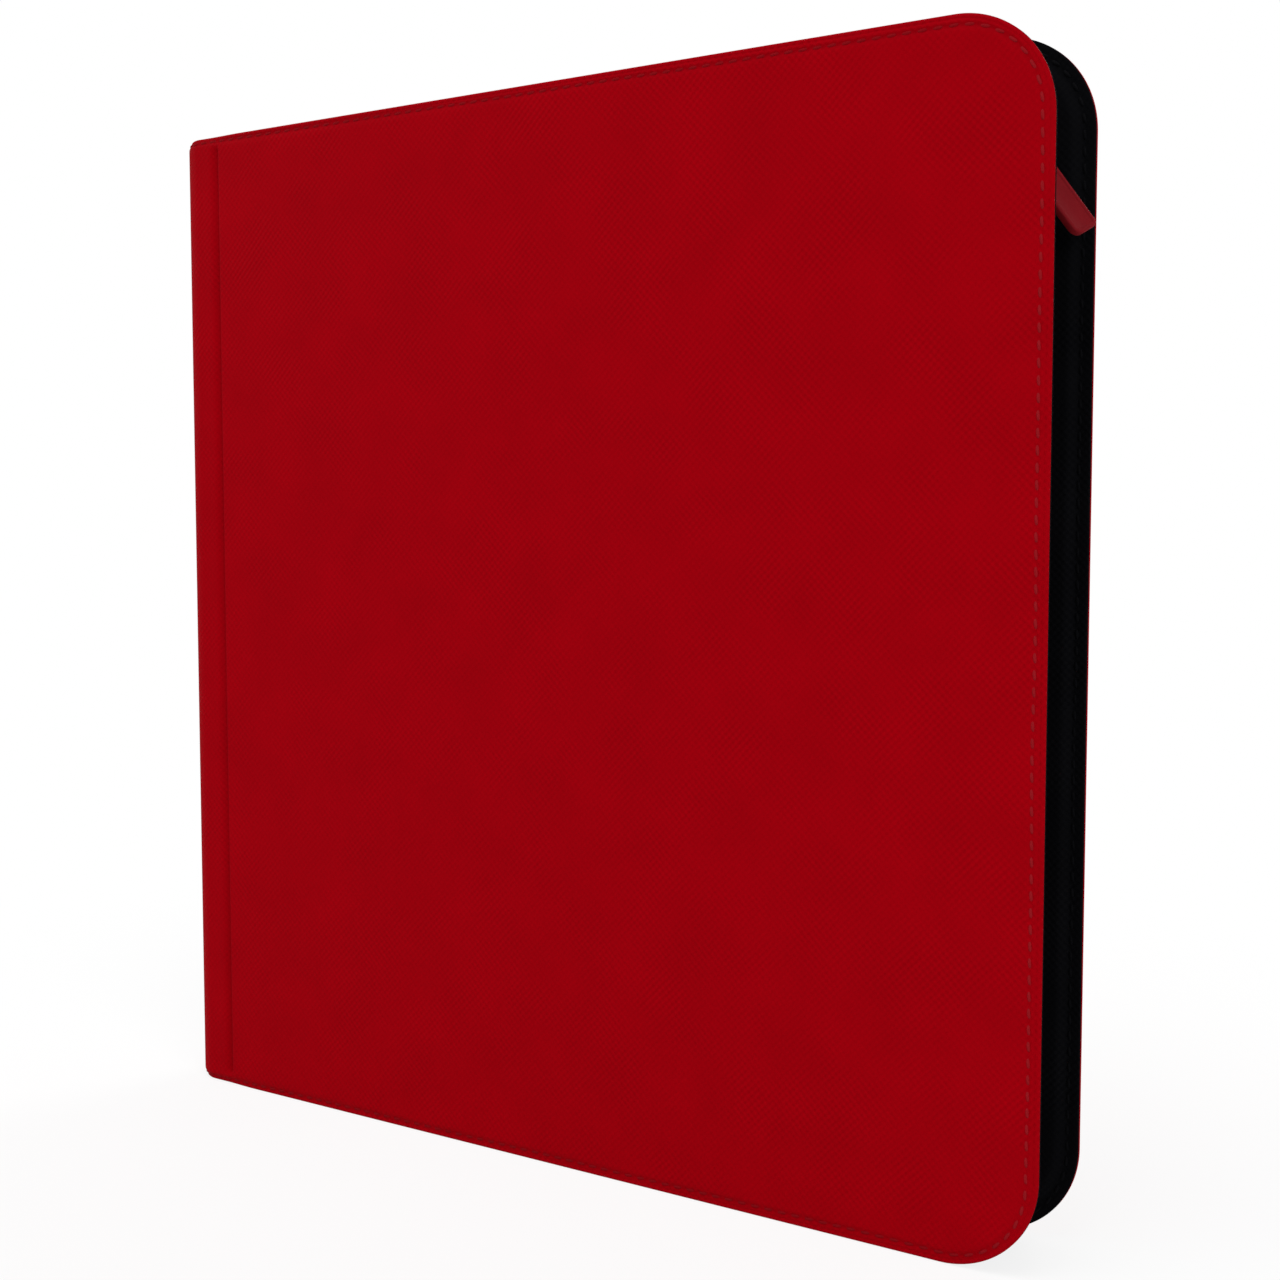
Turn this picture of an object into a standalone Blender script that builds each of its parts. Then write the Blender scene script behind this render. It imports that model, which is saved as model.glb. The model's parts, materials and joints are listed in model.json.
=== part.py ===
"""Zip-around trading card binder, closed and standing on its lower edge.

The front cover faces -Y, the spine is at -X, the opening (fore-edge) at +X.
Run with: blender --background --python part.py
"""

import math

import bmesh
import bpy
from mathutils import Euler, Matrix, Vector

MM = 0.001
GAP = 0.3 * MM  # room between pieces that touch

# Case
WIDTH = 332.3 * MM  # spine's outer face to the covers' fore-edge
HEIGHT = 345 * MM
THICKNESS = 34 * MM  # over both covers
COVER = 4 * MM  # one cover, skin to lining
CORNER_RADIUS = 29 * MM  # the two fore-edge corners
EDGE_RADIUS = 0.9 * MM  # rounded edge of the skin
CREASE_SETBACK = 19.9 * MM  # spine's outer face to the pressed crease where a cover folds
SHOULDER_RADIUS = 10 * MM  # spine's rounded long edges
TAB_PROUD = 1.61 * MM  # how far the pull tab stands past the fore-edge

# Layers of a cover and of the spine, outside to inside
SKIN = 0.8 * MM
PADDING = 0.7 * MM
BOARD = 1 * MM
LINING = COVER - SKIN - PADDING - BOARD - 3 * GAP
HEM = 1.3 * MM  # depth of the skin's turned edge
HEM_WIDTH = 0.9 * MM
FLANGE = 3.6 * MM  # along the edge, skin and lining are sewn together with nothing between them
FLANGE_RISE = 2.6 * MM  # the lining then climbs over the board within this width
PADDING_INSET = 5 * MM
BOARD_INSET = 6.8 * MM
SPINE_BOARD_WIDTH = 14 * MM

# Zip, sewn to both linings a little way in from the edge
ZIP_INSET = 14.5 * MM  # covers' edge to the plane of the tape
ZIP_Y = -3.7 * MM  # middle of the chain
ZIP_START = 4 * MM  # crease to the ends of the chain
TAPE = 0.7 * MM
TOOTH_PITCH = 3 * MM
TOOTH_TIP = 0.6 * MM  # from the middle of the chain
TOOTH_ROOT = 1.3 * MM
TOOTH_BACK = 3 * MM
TOOTH_THICKNESS = 2.3 * MM
STOP_LENGTH = 2.7 * MM

# Slider and pull
SLIDER_Z = 306.7 * MM
SLIDER_LENGTH = 14 * MM
SLIDER_SHOULDER = 11 * MM  # width at the end that spreads the teeth
SLIDER_TAIL = 8.8 * MM
SLIDER_PLATE = 0.9 * MM
POST = 0.6 * MM  # thin wall that joins the slider's two plates between the rows
LIP_REACH = 0.85 * MM  # back lips that keep the slider on its row of teeth
LIP_LENGTH = 9.8 * MM
CROWN_WIRE = 0.7 * MM
CROWN_LOW = -2.6 * MM  # feet of the crown, from the slider's middle
CROWN_HIGH = 4 * MM
PIVOT_HEIGHT = 3.75 * MM  # pull's pivot over the plane of the tape
PIVOT_RISE = 2.1 * MM  # pull's pivot over the crown's lower foot
LINK_WIRE = 0.6 * MM
LINK_SPAN = 6.8 * MM
LINK_LEG = 8 * MM
TAB_WIDTH = 9.9 * MM
TAB_THICKNESS = 2.4 * MM
TAB_NEAR = 3.6 * MM  # pivot to the near end of the tab
TAB_FAR = 24 * MM
TAB_NEAR_RADIUS = 2 * MM
TAB_FAR_RADIUS = 4 * MM
TAB_DISH = 0.35 * MM  # sunk panel on both faces
TAB_BORDER = 1.4 * MM
PULL_ANGLES = (37.6, -16.7, -24.5)  # degrees from hanging straight: swayed back, leaning out

# Pages: each carries pockets for standard 63 x 88 mm cards on both sides
PAGE_COUNT = 20
PAGE_PITCH = 1.25 * MM
PAGE_STAGGER = 1 * MM  # each page folds this much further out, up to the middle pair
PAGE_THICKNESS = 0.85 * MM
PAGE_CORE = 0.25 * MM
FILM = 0.15 * MM
POCKET_COLUMNS = 4
POCKET_WIDTH = 66.5 * MM
POCKET_ROWS = 3
POCKET_HEIGHT = 94.5 * MM
WELD = 2 * MM
MOUTH = 3 * MM  # strip left open so that a card can be slipped in
PAGE_FOLD = 6 * MM  # crease to the first page's fold line
PAGE_WIDTH = POCKET_COLUMNS * POCKET_WIDTH + (POCKET_COLUMNS + 2) * WELD
PAGE_HEIGHT = POCKET_ROWS * POCKET_HEIGHT + (POCKET_ROWS + 1) * WELD
PAGE_CLEAR = 0.5 * MM  # fold line to the page's stiff edge, which turns past its margin
MARGIN_THICKNESS = 0.6 * MM  # bound margin of a page
BINDING_DEPTH = 8 * MM  # sewn block that the margins come out of

# Places that follow from those sizes
X_SPINE = -(WIDTH + TAB_PROUD) / 2
X_FORE = X_SPINE + WIDTH
X_CREASE = X_SPINE + CREASE_SETBACK
X_ZIP = X_FORE - ZIP_INSET
Y_FRONT = -THICKNESS / 2
Y_BACK = THICKNESS / 2
PAGE_LOW = (HEIGHT - PAGE_HEIGHT) / 2
PIVOT = Vector((X_ZIP + PIVOT_HEIGHT, ZIP_Y, SLIDER_Z + CROWN_LOW + PIVOT_RISE))

for old in list(bpy.data.objects):
    bpy.data.objects.remove(old, do_unlink=True)

binder = bpy.data.collections.new("trading_card_binder")
cutters = bpy.data.collections.new("cutters")
bpy.context.scene.collection.children.link(binder)
bpy.context.scene.collection.children.link(cutters)


def finish(name, colour, roughness, metallic=0.0):
    """Principled material, colour in linear values."""
    material = bpy.data.materials.new(name)
    material.use_nodes = True
    shader = material.node_tree.nodes["Principled BSDF"]
    shader.inputs["Base Color"].default_value = (*colour, 1)
    shader.inputs["Roughness"].default_value = roughness
    shader.inputs["Metallic"].default_value = metallic
    return material


RED_SKIN = finish("red_grained_skin", (0.29, 0.001, 0.006), 0.55)
BLACK_LINING = finish("black_grained_lining", (0.006, 0.006, 0.008), 0.6)
FOAM = finish("foam_padding", (0.55, 0.53, 0.48), 0.9)
GREYBOARD = finish("greyboard", (0.33, 0.3, 0.26), 0.9)
BLACK_TAPE = finish("black_zip_tape", (0.008, 0.008, 0.009), 0.8)
BLACK_TEETH = finish("black_zip_teeth", (0.012, 0.012, 0.013), 0.35)
GUNMETAL = finish("gunmetal", (0.1, 0.1, 0.11), 0.3, 1.0)
RED_RUBBER = finish("red_rubber", (0.22, 0.008, 0.016), 0.6)
PAGE_PLASTIC = finish("pocket_page_plastic", (0.02, 0.02, 0.022), 0.25)
BINDING_CLOTH = finish("binding_cloth", (0.01, 0.01, 0.011), 0.85)


def hinge_point(name, place, parent=None):
    """Empty on a joint's axis, which the pieces that move with the joint hang from."""
    empty = bpy.data.objects.new(name, None)
    binder.objects.link(empty)
    hang(empty, place, parent)
    return empty


def hang(piece, place, parent):
    """Put a piece at a world place under a parent that isn't turned."""
    piece.location = place
    if parent:
        piece.parent = parent
        piece.matrix_parent_inverse = Matrix.Translation(-Vector(parent.location))


def add_piece(name, shape, material, parent, origin=(0, 0, 0), collection=None):
    """Object from a bmesh drawn around origin."""
    mesh = bpy.data.meshes.new(name)
    shape.to_mesh(mesh)
    shape.free()
    return add_mesh(name, mesh, material, parent, origin, collection or binder)


def add_mesh(name, mesh, material, parent, origin, collection):
    piece = bpy.data.objects.new(name, mesh)
    if material and not mesh.materials:
        mesh.materials.append(material)
    collection.objects.link(piece)
    hang(piece, Vector(origin), parent)
    return piece


def prism(outline, low, high, axis):
    """Closed solid: a ring of 2D points swept along axis; they give the other two axes in order."""
    shape = bmesh.new()

    def corner(point, level):
        values = list(point)
        values.insert(axis, level)
        return values

    ring = [shape.verts.new(corner(point, low)) for point in outline]
    base = shape.faces.new(ring)
    swept = bmesh.ops.extrude_face_region(shape, geom=[base])["geom"]
    far = [part for part in swept if isinstance(part, bmesh.types.BMVert)]
    step = Vector(corner((0, 0), high - low))
    bmesh.ops.translate(shape, vec=step, verts=far)
    bmesh.ops.recalc_face_normals(shape, faces=shape.faces)
    return shape


def loft(rings):
    """Closed solid through rings of like points, capped at both ends."""
    shape = bmesh.new()
    loops = [[shape.verts.new(point) for point in ring] for ring in rings]
    for near, far in zip(loops, loops[1:]):
        for here, there in zip(range(len(near)), [*range(1, len(near)), 0]):
            shape.faces.new((near[here], near[there], far[there], far[here]))
    for loop in (loops[0], loops[-1]):
        shape.faces.new(loop)
    bmesh.ops.recalc_face_normals(shape, faces=shape.faces)
    return shape


def arc(centre, radius, start, end, steps):
    """Points on a circle from start to end, in degrees."""
    angles = [math.radians(start + (end - start) * step / steps) for step in range(steps + 1)]
    return [(centre[0] + radius * math.cos(a), centre[1] + radius * math.sin(a)) for a in angles]


def rounded_box(low, high, radius):
    """Box between two corners with all edges rounded."""
    shape = bmesh.new()
    bmesh.ops.create_cube(shape, size=1)
    size = Vector(high) - Vector(low)
    bmesh.ops.scale(shape, vec=size, verts=shape.verts)
    bmesh.ops.translate(shape, vec=(Vector(low) + Vector(high)) / 2, verts=shape.verts)
    bmesh.ops.bevel(
        shape, geom=shape.edges[:], offset=radius, segments=2, profile=0.5, affect="EDGES"
    )
    return shape


def boolean(piece, tool, operation):
    """Join or cut a piece with a tool, and put the tool away."""
    change = piece.modifiers.new(operation.lower(), "BOOLEAN")
    change.operation = operation
    change.object = tool
    change.solver = "EXACT"
    tool.hide_render = True
    tool.display_type = "WIRE"


def add_union(name, shapes, material, parent):
    """First shape with the others joined to it."""
    piece = add_piece(name, shapes[0], material, parent)
    for number, shape in enumerate(shapes[1:]):
        tool = add_piece(f"{name}_join_{number}", shape, None, None, collection=cutters)
        boolean(piece, tool, "UNION")


def cover_outline(inset):
    """Cover seen from the front: square at the crease, rounded at the fore-edge corners."""
    radius = CORNER_RADIUS - inset
    left = X_CREASE + GAP + inset
    right = X_FORE - CORNER_RADIUS
    upper = arc((right, HEIGHT - CORNER_RADIUS), radius, 90, 0, 10)
    lower = arc((right, CORNER_RADIUS), radius, 0, -90, 10)
    return [(left, inset), (left, HEIGHT - inset), *upper, *lower]


def cover_skin(outside, inwards):
    """Shallow tray of covering: rounded outer edge, and a hem turned in round the edge."""
    inside = outside + inwards * HEM
    shape = prism(cover_outline(0), *sorted((outside, inside)), axis=1)
    outer_edges = [
        edge for edge in shape.edges if all(abs(v.co.y - outside) < GAP / 10 for v in edge.verts)
    ]
    bmesh.ops.bevel(
        shape, geom=outer_edges, offset=EDGE_RADIUS, segments=3, profile=0.5, affect="EDGES"
    )
    inner = broad_face(shape, inside)
    bmesh.ops.inset_region(shape, faces=[inner], thickness=HEM_WIDTH, use_even_offset=True)
    pushed = bmesh.ops.extrude_discrete_faces(shape, faces=[inner])["faces"]
    verts = list({vert for face in pushed for vert in face.verts})
    bmesh.ops.translate(shape, vec=(0, inwards * (SKIN - HEM), 0), verts=verts)
    return shape


def cover_lining(outside, inwards):
    """Inner covering: a flange against the hem all round, then a slope up over the board."""
    outer = outside + inwards * (HEM + GAP)
    inner = outer + inwards * LINING
    rise = COVER - HEM - GAP - LINING
    shape = prism(cover_outline(0), *sorted((outer, inner)), axis=1)
    for level, depth in ((outer, -rise), (inner, rise)):
        face = broad_face(shape, level)
        bmesh.ops.inset_region(shape, faces=[face], thickness=FLANGE, use_even_offset=True)
        bmesh.ops.inset_region(shape, faces=[face], thickness=FLANGE_RISE, depth=depth, use_even_offset=True)
    return shape


def broad_face(shape, level):
    """Largest face that lies at a level on Y."""
    flat = [face for face in shape.faces if abs(face.calc_center_median().y - level) < GAP / 10]
    return max(flat, key=lambda face: face.calc_area())


def add_cover(side, outside, parent):
    """Skin, padding, board and lining of one cover, from its outer face inwards."""
    inwards = 1 if outside < 0 else -1

    def layer(name, start, thickness, inset, material):
        ends = sorted((outside + inwards * start, outside + inwards * (start + thickness)))
        add_piece(f"{side}_cover_{name}", prism(cover_outline(inset), *ends, axis=1), material, parent)

    add_piece(f"{side}_cover_skin", cover_skin(outside, inwards), RED_SKIN, parent)
    padding_start = SKIN + GAP
    layer("padding", padding_start, PADDING, PADDING_INSET, FOAM)
    layer("board", padding_start + PADDING + GAP, BOARD, BOARD_INSET, GREYBOARD)
    add_piece(f"{side}_cover_lining", cover_lining(outside, inwards), BLACK_LINING, parent)


def spine_path(offset):
    """Spine's section, from the front crease round both shoulders to the back crease."""
    radius = SHOULDER_RADIUS - offset
    centre_x = X_SPINE + SHOULDER_RADIUS
    centre_y = THICKNESS / 2 - SHOULDER_RADIUS
    end = X_CREASE - GAP
    front = arc((centre_x, -centre_y), radius, 270, 180, 8)
    back = arc((centre_x, centre_y), radius, 180, 90, 8)
    return [(end, Y_FRONT + offset), *front, *back, (end, Y_BACK - offset)]


def add_spine(parent):
    """Channel of covering, padding and lining, a board behind its flat, and a gusset near each end."""

    def channel(name, foot, material):
        """foot gives the section near one end: height, outer and inner depth. The other end mirrors it."""
        head = [(HEIGHT - z, outer, inner) for z, outer, inner in foot[::-1]]
        rings = []
        for z, outer, inner in foot + head:
            section = spine_path(outer) + spine_path(inner)[::-1]
            rings.append([(x, y, z) for x, y in section])
        add_piece(name, loft(rings), material, parent)

    padding_start = SKIN + GAP
    board_start = padding_start + PADDING + GAP
    flange = HEM + GAP
    hem = [(0, EDGE_RADIUS, HEM), (EDGE_RADIUS, 0, HEM), (2 * HEM_WIDTH, 0, SKIN)]
    channel("spine_skin", hem, RED_SKIN)
    channel("spine_padding", [(PADDING_INSET, padding_start, padding_start + PADDING)], FOAM)
    sewn = [(0, flange, flange + LINING), (FLANGE, flange, flange + LINING)]
    channel("spine_lining", sewn + [(FLANGE + FLANGE_RISE, COVER - LINING, COVER)], BLACK_LINING)
    half = SPINE_BOARD_WIDTH / 2
    left = X_SPINE + board_start
    board = [(left, -half), (left + BOARD, -half), (left + BOARD, half), (left, half)]
    add_piece("spine_board", prism(board, BOARD_INSET, HEIGHT - BOARD_INSET, axis=2), GREYBOARD, parent)
    panel = spine_path(COVER + GAP)
    for level, middle in (("upper", HEIGHT - ZIP_INSET), ("lower", ZIP_INSET)):
        shape = prism(panel, middle - TAPE / 2, middle + TAPE / 2, axis=2)
        add_piece(f"spine_gusset_{level}", shape, BLACK_TAPE, parent)


def page_fold(number):
    """Where page number (1 at the front) folds: the middle pages fold furthest from the spine."""
    steps_in = min(number - 1, PAGE_COUNT - number)
    x = X_CREASE + PAGE_FOLD + PAGE_STAGGER * steps_in
    y = PAGE_PITCH * (number - (PAGE_COUNT + 1) / 2)
    return x, y


def add_binding(parent):
    """Sewn block inside the spine with the bound margins of all pages standing out of it."""
    seat = spine_path(COVER + GAP)[1:-1]
    root = X_SPINE + COVER + GAP + BINDING_DEPTH
    section = [(root, seat[0][1]), *seat, (root, seat[-1][1])]
    for number in range(PAGE_COUNT, 0, -1):
        x, y = page_fold(number)
        tip = x - GAP / 2
        over, under = y + MARGIN_THICKNESS / 2, y - MARGIN_THICKNESS / 2
        section += [(root, over), (tip, over), (tip, under), (root, under)]
    shape = prism(section, PAGE_LOW, PAGE_LOW + PAGE_HEIGHT, axis=2)
    add_piece("page_binding", shape, BINDING_CLOTH, parent)


def pocket_slot(column, side):
    """Space of one column of pockets: a thin gap under the film, open along its spine side."""
    near = PAGE_CLEAR + 2 * WELD + column * (POCKET_WIDTH + WELD)
    far = near + POCKET_WIDTH
    core = PAGE_CORE / 2
    under_film = PAGE_THICKNESS / 2 - FILM
    outside = PAGE_THICKNESS
    section = [
        (near, core), (far, core), (far, under_film),
        (near + MOUTH, under_film), (near + MOUTH, outside), (near, outside),
    ]
    section = [(x, side * y) for x, y in section]
    return prism(section, PAGE_LOW + WELD, PAGE_LOW + PAGE_HEIGHT - WELD, axis=2)


def page_mesh():
    """One page around its fold line: a core sheet with pocket films welded to both sides."""
    half = PAGE_THICKNESS / 2
    end = PAGE_CLEAR + PAGE_WIDTH
    sheet = [(PAGE_CLEAR, -half), (end, -half), (end, half), (PAGE_CLEAR, half)]
    blank = prism(sheet, PAGE_LOW, PAGE_LOW + PAGE_HEIGHT, axis=2)
    page = add_piece("page_blank", blank, None, None, collection=cutters)
    for column in range(POCKET_COLUMNS):
        for side in (1, -1):
            name = f"pocket_{column}_{'back' if side > 0 else 'front'}"
            slot = add_piece(name, pocket_slot(column, side), None, None, collection=cutters)
            boolean(page, slot, "DIFFERENCE")
    depsgraph = bpy.context.evaluated_depsgraph_get()
    mesh = bpy.data.meshes.new_from_object(page.evaluated_get(depsgraph))
    bpy.data.objects.remove(page, do_unlink=True)
    return mesh


def add_pages(parent):
    """Every page is the same sheet, hung on its own fold line."""
    mesh = page_mesh()
    mesh.name = "pocket_page"
    for number in range(1, PAGE_COUNT + 1):
        x, y = page_fold(number)
        add_mesh(f"page_{number:02d}", mesh, PAGE_PLASTIC, parent, (x, y, 0), binder)


def zip_path():
    """Line of the zip round three sides: straight runs, and arcs inside the covers' corners."""
    radius = CORNER_RADIUS - ZIP_INSET
    right = X_FORE - CORNER_RADIUS
    start = X_CREASE + ZIP_START
    upper = arc((right, HEIGHT - CORNER_RADIUS), radius, 90, 0, 12)
    lower = arc((right, CORNER_RADIUS), radius, 0, -90, 12)
    return [(start, HEIGHT - ZIP_INSET), *upper, *lower, (start, ZIP_INSET)]


def along(path, step):
    """Points at equal steps along a path, with its own ends."""
    lengths = [math.dist(a, b) for a, b in zip(path, path[1:])]
    count = round(sum(lengths) / step)
    step = sum(lengths) / count
    points, run, index = [], 0.0, 0
    for number in range(count + 1):
        want = number * step
        while index < len(lengths) - 1 and run + lengths[index] < want:
            run += lengths[index]
            index += 1
        share = (want - run) / lengths[index]
        a, b = path[index], path[index + 1]
        points.append((a[0] + (b[0] - a[0]) * share, a[1] + (b[1] - a[1]) * share))
    return points


def ribbon(name, path, edge_a, edge_b, thickness, material, parent):
    """Wall that stands across the gap on a path in XZ; edge_a and edge_b give its Y at each point."""
    shape = bmesh.new()
    row_a = [shape.verts.new((x, y, z)) for (x, z), y in zip(path, edge_a)]
    row_b = [shape.verts.new((x, y, z)) for (x, z), y in zip(path, edge_b)]
    rows = [shape.edges.new(pair) for row in (row_a, row_b) for pair in zip(row, row[1:])]
    bmesh.ops.bridge_loops(shape, edges=rows)
    bmesh.ops.recalc_face_normals(shape, faces=shape.faces)
    piece = add_piece(name, shape, material, parent)
    wall = piece.modifiers.new("thickness", "SOLIDIFY")
    wall.thickness = thickness
    wall.offset = 0
    wall.use_even_offset = True


def add_zip_half(side, direction, parent):
    """Tape, teeth and end stops of one half; direction is -1 towards the front cover."""
    tape_path = zip_path()
    lining_face = direction * (THICKNESS / 2 - COVER - GAP)
    tape_edge = ZIP_Y + direction * (TOOTH_BACK + GAP)
    count = len(tape_path)
    edges = ([lining_face] * count, [tape_edge] * count)
    ribbon(f"{side}_zip_tape", tape_path, *edges, TAPE, BLACK_TAPE, parent)
    tooth_path = along(tape_path, TOOTH_PITCH / 2)
    first = 0 if direction > 0 else 1
    tips = [
        ZIP_Y + direction * (TOOTH_TIP if (number + first) % 2 else TOOTH_ROOT)
        for number in range(len(tooth_path))
    ]
    backs = [ZIP_Y + direction * TOOTH_BACK] * len(tooth_path)
    ribbon(f"{side}_zip_teeth", tooth_path, backs, tips, TOOTH_THICKNESS, BLACK_TEETH, parent)
    for level, (x, z) in (("upper", tape_path[0]), ("lower", tape_path[-1])):
        half = TOOTH_THICKNESS / 2 + GAP
        ends = sorted((ZIP_Y + direction * TOOTH_TIP, ZIP_Y + direction * (TOOTH_BACK + GAP)))
        low = (x - GAP - STOP_LENGTH, ends[0], z - half)
        high = (x - GAP, ends[1], z + half)
        add_piece(f"{side}_zip_stop_{level}", rounded_box(low, high, 2 * GAP), GUNMETAL, parent)


def slider_outline():
    """Plate of the slider in YZ: broad shoulders above, a narrower round-cornered tail below."""
    half = SLIDER_LENGTH / 2
    broad, narrow = SLIDER_SHOULDER / 2, SLIDER_TAIL / 2
    soft = half / 4
    right = arc((broad - soft, half - soft), soft, 90, 0, 4)
    right += arc((narrow - soft, soft - half), soft, 0, -90, 4)
    left = [(-y, z) for y, z in right[::-1]]
    return [(y + ZIP_Y, z + SLIDER_Z) for y, z in right + left]


def add_slider(parent):
    """Two plates round the teeth, a thin post between the rows, back lips, and the crown for the pull."""
    inner = TOOTH_THICKNESS / 2 + GAP
    outer = inner + SLIDER_PLATE
    half = SLIDER_LENGTH / 2
    overlap = SLIDER_PLATE / 2
    outline = slider_outline()
    shapes = [prism(outline, X_ZIP + inner, X_ZIP + outer, axis=0)]
    shapes.append(prism(outline, X_ZIP - outer, X_ZIP - inner, axis=0))

    def block(x, y, z):
        corners = [(y[0] + ZIP_Y, z[0] + SLIDER_Z), (y[1] + ZIP_Y, z[0] + SLIDER_Z)]
        corners += [(y[1] + ZIP_Y, z[1] + SLIDER_Z), (y[0] + ZIP_Y, z[1] + SLIDER_Z)]
        return prism(corners, X_ZIP + x[0], X_ZIP + x[1], axis=0)

    reach = inner + overlap
    shapes.append(block((-reach, reach), (-POST / 2, POST / 2), (0, half - overlap)))
    lip_y = (TOOTH_BACK + GAP, SLIDER_TAIL / 2 - GAP / 2)
    lip_z = (-LIP_LENGTH / 2, LIP_LENGTH / 2)
    for sign in (1, -1):
        lip_x = sorted((sign * (inner - LIP_REACH), sign * reach))
        shapes.append(block(lip_x, lip_y, lip_z))
    add_union("slider_body", shapes, GUNMETAL, parent)

    foot = outer + GAP / 2
    top = PIVOT_HEIGHT + LINK_WIRE + 2 * GAP + CROWN_WIRE
    bend = 2 * CROWN_WIRE
    arch = [(foot, CROWN_HIGH), *arc((top - bend, CROWN_HIGH - bend), bend, 90, 0, 4)]
    arch += [*arc((top - bend, CROWN_LOW + bend), bend, 0, -90, 4), (foot, CROWN_LOW)]
    points = [(X_ZIP + x, ZIP_Y, SLIDER_Z + z) for x, z in arch]
    add_wire("slider_crown", points, CROWN_WIRE, GUNMETAL, parent)


def add_wire(name, points, radius, material, parent, origin=(0, 0, 0), turn=(0, 0, 0)):
    """Round wire along points."""
    curve = bpy.data.curves.new(name, "CURVE")
    curve.dimensions = "3D"
    curve.bevel_depth = radius
    curve.bevel_resolution = 2
    curve.use_fill_caps = True
    line = curve.splines.new("POLY")
    line.points.add(len(points) - 1)
    for point, place in zip(line.points, points):
        point.co = (*place, 1)
    curve.materials.append(material)
    wire = bpy.data.objects.new(name, curve)
    binder.objects.link(wire)
    hang(wire, Vector(origin), parent)
    wire.rotation_euler = turn


def tab_outline(inset):
    """Pull tab in its own YZ, hanging down from the pivot, with a rounder far end."""
    half = TAB_WIDTH / 2 - inset
    near, far = -TAB_NEAR - inset, -TAB_FAR + inset
    near_r, far_r = TAB_NEAR_RADIUS - inset / 2, TAB_FAR_RADIUS - inset / 2
    right = arc((half - near_r, near - near_r), near_r, 90, 0, 5)
    right += arc((half - far_r, far + far_r), far_r, 0, -90, 7)
    return right + [(-y, z) for y, z in right[::-1]]


def add_pull(parent):
    """Wire link through the crown, and a rubber tab moulded on its two legs."""
    turn = Euler([math.radians(angle) for angle in PULL_ANGLES], "XYZ")
    side = LINK_SPAN / 2
    bend = 2 * LINK_WIRE
    right = arc((side - bend, -bend), bend, 0, 90, 4)
    bow = [(side, -LINK_LEG), *right, *[(-y, z) for y, z in right[::-1]], (-side, -LINK_LEG)]
    points = [(0, y, z) for y, z in bow]
    add_wire("pull_link", points, LINK_WIRE, GUNMETAL, parent, PIVOT, turn)

    half = TAB_THICKNESS / 2
    tab = add_piece("pull_tab", prism(tab_outline(0), -half, half, axis=0), RED_RUBBER, parent, PIVOT)
    panel = tab_outline(TAB_BORDER)
    panel = [(y, min(z, -LINK_LEG - TAB_BORDER)) for y, z in panel]
    for number, sign in enumerate((1, -1)):
        ends = sorted((sign * (half - TAB_DISH), sign * TAB_THICKNESS))
        tool = add_piece(f"tab_panel_{number}", prism(panel, *ends, axis=0), None, parent, PIVOT, cutters)
        tool.rotation_euler = turn
        boolean(tab, tool, "DIFFERENCE")
    for number, sign in enumerate((1, -1)):
        socket = bmesh.new()
        bore = LINK_WIRE + GAP
        bmesh.ops.create_cone(
            socket, cap_ends=True, segments=10, radius1=bore, radius2=bore, depth=2 * LINK_LEG
        )
        bmesh.ops.translate(socket, vec=(0, sign * side, -GAP), verts=socket.verts)
        tool = add_piece(f"tab_socket_{number}", socket, None, parent, PIVOT, cutters)
        tool.rotation_euler = turn
        boolean(tab, tool, "DIFFERENCE")
    tab.rotation_euler = turn


def main():
    back = hinge_point("back_cover_frame", (0, 0, 0))
    spine = hinge_point("spine_fold", (X_CREASE, Y_BACK, 0), back)
    front = hinge_point("front_cover_fold", (X_CREASE, Y_FRONT, 0), spine)
    slider = hinge_point("zip_slide", (X_ZIP, ZIP_Y, SLIDER_Z), back)
    pull = hinge_point("pull_pivot", PIVOT, slider)
    add_cover("back", Y_BACK, back)
    add_cover("front", Y_FRONT, front)
    add_spine(spine)
    add_binding(spine)
    add_pages(spine)
    add_zip_half("back", 1, back)
    add_zip_half("front", -1, front)
    add_slider(slider)
    add_pull(pull)


main()
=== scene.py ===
import bmesh
import bpy
import json
import math
import numpy as np
from mathutils import Euler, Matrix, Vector


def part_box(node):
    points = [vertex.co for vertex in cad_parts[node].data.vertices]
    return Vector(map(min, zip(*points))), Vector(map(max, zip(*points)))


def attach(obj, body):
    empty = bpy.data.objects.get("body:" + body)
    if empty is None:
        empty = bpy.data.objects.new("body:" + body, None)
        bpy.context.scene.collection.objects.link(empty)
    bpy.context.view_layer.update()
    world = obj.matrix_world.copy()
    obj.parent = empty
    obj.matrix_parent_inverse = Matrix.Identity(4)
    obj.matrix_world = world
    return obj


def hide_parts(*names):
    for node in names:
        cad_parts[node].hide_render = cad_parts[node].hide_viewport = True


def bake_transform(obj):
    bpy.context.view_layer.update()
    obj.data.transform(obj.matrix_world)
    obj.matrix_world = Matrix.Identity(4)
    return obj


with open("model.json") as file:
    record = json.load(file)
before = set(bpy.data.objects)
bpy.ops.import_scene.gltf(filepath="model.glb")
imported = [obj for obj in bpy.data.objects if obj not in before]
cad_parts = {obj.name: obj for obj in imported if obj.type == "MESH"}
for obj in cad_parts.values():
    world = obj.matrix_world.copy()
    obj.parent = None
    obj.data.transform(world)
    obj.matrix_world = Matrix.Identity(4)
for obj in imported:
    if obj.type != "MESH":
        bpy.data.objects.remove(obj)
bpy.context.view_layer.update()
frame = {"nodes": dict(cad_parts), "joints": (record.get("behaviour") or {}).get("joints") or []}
mm = 0.001
mergeWithin = 0.002 * mm
sharpAngle = math.radians(50)

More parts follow.
